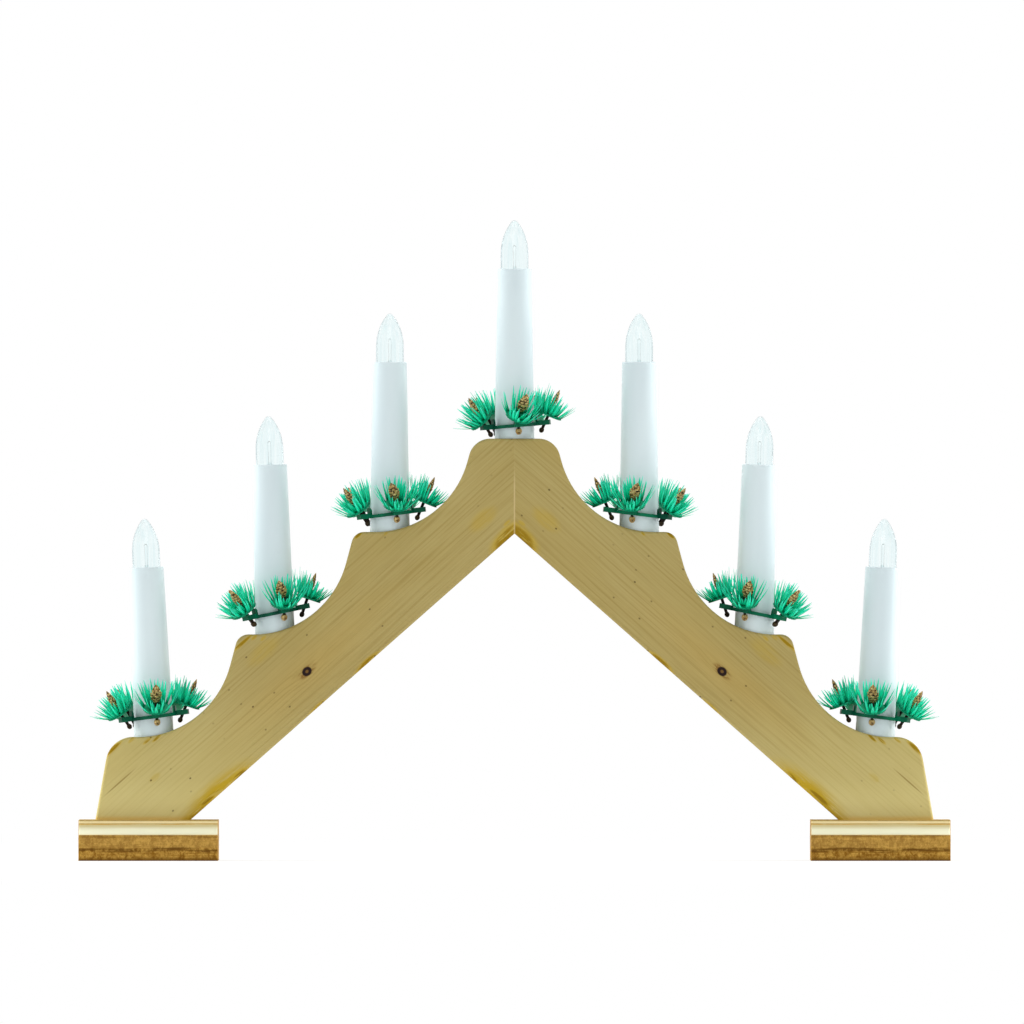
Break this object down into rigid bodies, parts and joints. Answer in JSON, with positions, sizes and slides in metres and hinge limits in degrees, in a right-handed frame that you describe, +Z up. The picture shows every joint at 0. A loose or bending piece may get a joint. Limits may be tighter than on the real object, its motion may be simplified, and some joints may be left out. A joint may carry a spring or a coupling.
{
  "type": "candle arch",
  "caption": "Stepped wooden candle arch on two coved feet, with white electric candles, clear lift-out lamps and pine wreaths that lift off the candles.",
  "frame": {"origin": "middle of the footprint, on the surface that the feet stand on", "axes": "+X along the arch, front towards -Y, +Z up"},
  "size_m": [0.3998, 0.056, 0.2937],
  "materials": {
    "arm_wood": "clear-coated pale softwood with golden stain along the edges",
    "foot_wood": "stained softwood, satin",
    "dowel_wood": "plain beech",
    "screw_steel": "zinc plated",
    "socket_plastic": "moulded, off-white",
    "socket_brass": "bright sheet",
    "candle_plastic": "white, semi-gloss",
    "lamp_glass": "clear",
    "cap_brass": "bright sheet",
    "lamp_wire": "drawn wire on a glass stem",
    "wreath_plastic": "dark green moulding",
    "needle_plastic": "emerald green moulding",
    "cone_plastic": "gold-brown, glittered"
  },
  "bodies": {
    "arch": {"left_arm": "arm_wood", "right_arm": "arm_wood", "left_foot": "foot_wood", "right_foot": "foot_wood", "mitre_dowels": "dowel_wood", "foot_screws": "screw_steel", "lamp_sockets": "socket_plastic", "socket_shells": "socket_brass", "centre_contacts": "socket_brass", "candle_tube_1": "candle_plastic", "candle_tube_2": "candle_plastic", "candle_tube_3": "candle_plastic", "candle_tube_4": "candle_plastic", "candle_tube_5": "candle_plastic", "candle_tube_6": "candle_plastic", "candle_tube_7": "candle_plastic"},
    "bulb_1": {"bulb_glass_1": "lamp_glass", "bulb_cap_1": "cap_brass", "bulb_mount_1": "lamp_wire"},
    "wreath_1": {"wreath_ring_1": "wreath_plastic", "pine_sprays_1": "needle_plastic", "pine_cones_1": "cone_plastic"},
    "bulb_2": {"bulb_glass_2": "lamp_glass", "bulb_cap_2": "cap_brass", "bulb_mount_2": "lamp_wire"},
    "wreath_2": {"wreath_ring_2": "wreath_plastic", "pine_sprays_2": "needle_plastic", "pine_cones_2": "cone_plastic"},
    "bulb_3": {"bulb_glass_3": "lamp_glass", "bulb_cap_3": "cap_brass", "bulb_mount_3": "lamp_wire"},
    "wreath_3": {"wreath_ring_3": "wreath_plastic", "pine_sprays_3": "needle_plastic", "pine_cones_3": "cone_plastic"},
    "bulb_4": {"bulb_glass_4": "lamp_glass", "bulb_cap_4": "cap_brass", "bulb_mount_4": "lamp_wire"},
    "wreath_4": {"wreath_ring_4": "wreath_plastic", "pine_sprays_4": "needle_plastic", "pine_cones_4": "cone_plastic"},
    "bulb_5": {"bulb_glass_5": "lamp_glass", "bulb_cap_5": "cap_brass", "bulb_mount_5": "lamp_wire"},
    "wreath_5": {"wreath_ring_5": "wreath_plastic", "pine_sprays_5": "needle_plastic", "pine_cones_5": "cone_plastic"},
    "bulb_6": {"bulb_glass_6": "lamp_glass", "bulb_cap_6": "cap_brass", "bulb_mount_6": "lamp_wire"},
    "wreath_6": {"wreath_ring_6": "wreath_plastic", "pine_sprays_6": "needle_plastic", "pine_cones_6": "cone_plastic"},
    "bulb_7": {"bulb_glass_7": "lamp_glass", "bulb_cap_7": "cap_brass", "bulb_mount_7": "lamp_wire"},
    "wreath_7": {"wreath_ring_7": "wreath_plastic", "pine_sprays_7": "needle_plastic", "pine_cones_7": "cone_plastic"}
  },
  "joints": [
    {"name": "bulb_1_lift", "type": "slide", "parent": "arch", "child": "bulb_1", "axis": [-0.0436, 0, 0.999], "range_m": [0, 0.035]},
    {"name": "wreath_1_lift", "type": "slide", "parent": "arch", "child": "wreath_1", "axis": [-0.0436, 0, 0.999], "range_m": [0, 0.105]},
    {"name": "bulb_2_lift", "type": "slide", "parent": "arch", "child": "bulb_2", "axis": [-0.0297, 0, 0.9996], "range_m": [0, 0.035]},
    {"name": "wreath_2_lift", "type": "slide", "parent": "arch", "child": "wreath_2", "axis": [-0.0297, 0, 0.9996], "range_m": [0, 0.105]},
    {"name": "bulb_3_lift", "type": "slide", "parent": "arch", "child": "bulb_3", "axis": [0, 0, 1], "range_m": [0, 0.035]},
    {"name": "wreath_3_lift", "type": "slide", "parent": "arch", "child": "wreath_3", "axis": [0, 0, 1], "range_m": [0, 0.105]},
    {"name": "bulb_4_lift", "type": "slide", "parent": "arch", "child": "bulb_4", "axis": [0, 0, 1], "range_m": [0, 0.035]},
    {"name": "wreath_4_lift", "type": "slide", "parent": "arch", "child": "wreath_4", "axis": [0, 0, 1], "range_m": [0, 0.105]},
    {"name": "bulb_5_lift", "type": "slide", "parent": "arch", "child": "bulb_5", "axis": [0, 0, 1], "range_m": [0, 0.035]},
    {"name": "wreath_5_lift", "type": "slide", "parent": "arch", "child": "wreath_5", "axis": [0, 0, 1], "range_m": [0, 0.105]},
    {"name": "bulb_6_lift", "type": "slide", "parent": "arch", "child": "bulb_6", "axis": [0.0297, 0, 0.9996], "range_m": [0, 0.035]},
    {"name": "wreath_6_lift", "type": "slide", "parent": "arch", "child": "wreath_6", "axis": [0.0297, 0, 0.9996], "range_m": [0, 0.105]},
    {"name": "bulb_7_lift", "type": "slide", "parent": "arch", "child": "bulb_7", "axis": [0.0436, 0, 0.999], "range_m": [0, 0.035]},
    {"name": "wreath_7_lift", "type": "slide", "parent": "arch", "child": "wreath_7", "axis": [0.0436, 0, 0.999], "range_m": [0, 0.105]}
  ]
}
